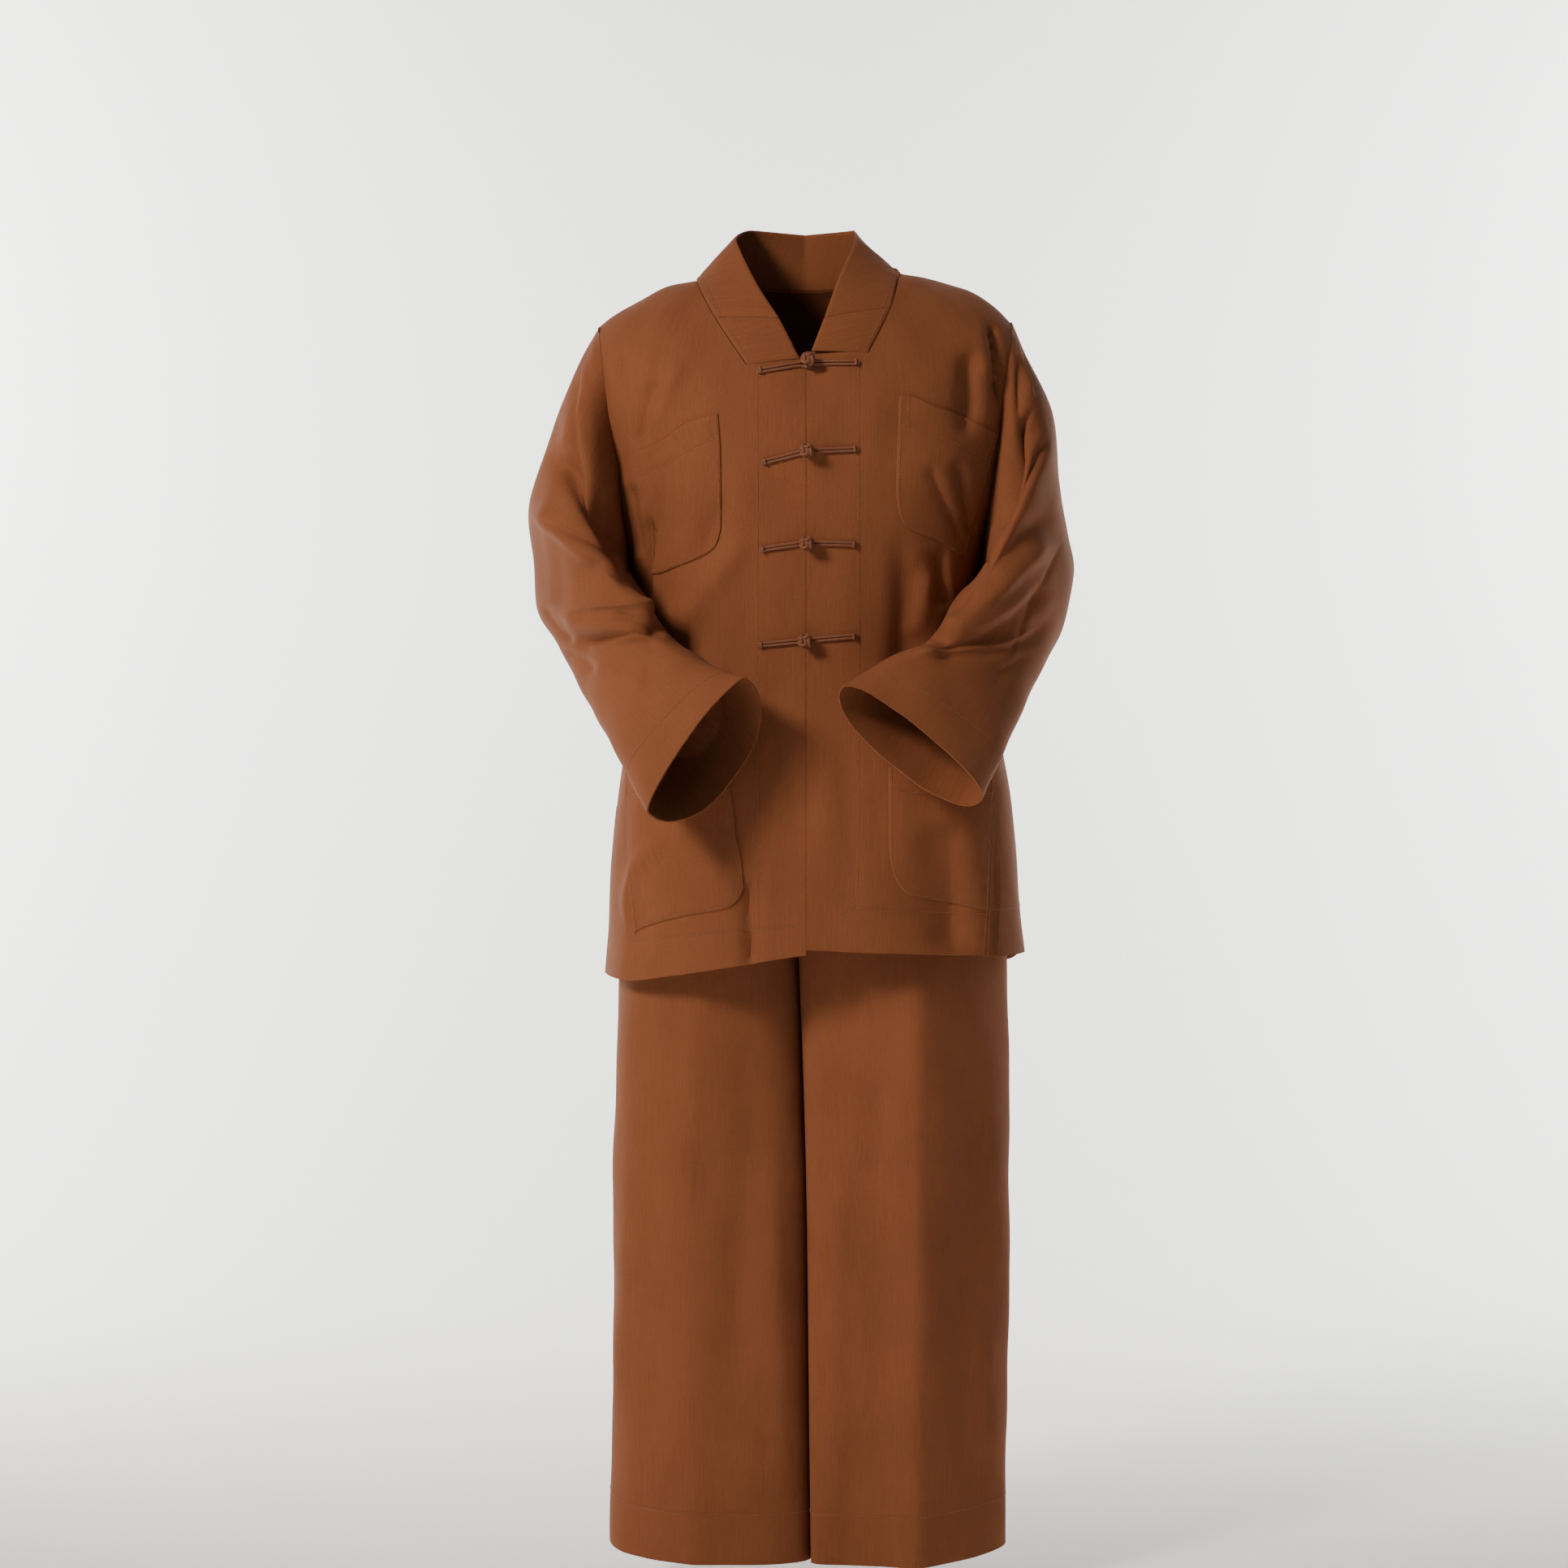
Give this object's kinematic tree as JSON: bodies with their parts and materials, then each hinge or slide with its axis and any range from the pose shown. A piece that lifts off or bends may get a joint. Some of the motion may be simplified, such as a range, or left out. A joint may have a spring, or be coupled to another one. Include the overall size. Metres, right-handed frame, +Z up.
{
  "type": "buddhist monk suit",
  "caption": "Monk's two-piece suit in worn shape: short straight jacket with a V-neck band collar, knotted frogs and patch pockets, over wide straight trousers.",
  "frame": {"origin": "between the shoulders on the jacket's centre line, level with the shoulder seams beside the neck, where a wearer or hanger holds the suit up", "axes": "+Z up, -Y out of the front, +X towards the viewer's right as the front is seen"},
  "size_m": [0.6202, 0.393, 1.513],
  "materials": {
    "front_left": "matte plain-weave cloth",
    "front_right": "matte plain-weave cloth",
    "back": "matte plain-weave cloth",
    "sleeve_left": "matte plain-weave cloth",
    "sleeve_right": "matte plain-weave cloth",
    "collar_band": "matte plain-weave cloth",
    "collar_end_left": "matte plain-weave cloth",
    "collar_end_right": "matte plain-weave cloth",
    "chest_pocket_left": "matte plain-weave cloth",
    "chest_pocket_right": "matte plain-weave cloth",
    "lower_pocket_left": "matte plain-weave cloth",
    "lower_pocket_right": "matte plain-weave cloth",
    "frog_1_loop": "matte plain-weave cloth",
    "frog_1_knot": "matte plain-weave cloth",
    "frog_2_loop": "matte plain-weave cloth",
    "frog_2_knot": "matte plain-weave cloth",
    "frog_3_loop": "matte plain-weave cloth",
    "frog_3_knot": "matte plain-weave cloth",
    "frog_4_loop": "matte plain-weave cloth",
    "frog_4_knot": "matte plain-weave cloth",
    "leg_front_left": "matte plain-weave cloth",
    "leg_front_right": "matte plain-weave cloth",
    "leg_back_left": "matte plain-weave cloth",
    "leg_back_right": "matte plain-weave cloth",
    "waistband": "matte plain-weave cloth"
  },
  "bodies": {
    "root": {"front_left": "front_left", "front_right": "front_right", "back": "back", "sleeve_left": "sleeve_left", "sleeve_right": "sleeve_right", "collar_band": "collar_band", "collar_end_left": "collar_end_left", "collar_end_right": "collar_end_right", "chest_pocket_left": "chest_pocket_left", "chest_pocket_right": "chest_pocket_right", "lower_pocket_left": "lower_pocket_left", "lower_pocket_right": "lower_pocket_right", "frog_1_loop": "frog_1_loop", "frog_1_knot": "frog_1_knot", "frog_2_loop": "frog_2_loop", "frog_2_knot": "frog_2_knot", "frog_3_loop": "frog_3_loop", "frog_3_knot": "frog_3_knot", "frog_4_loop": "frog_4_loop", "frog_4_knot": "frog_4_knot", "leg_front_left": "leg_front_left", "leg_front_right": "leg_front_right", "leg_back_left": "leg_back_left", "leg_back_right": "leg_back_right", "waistband": "waistband"}
  },
  "joints": []
}
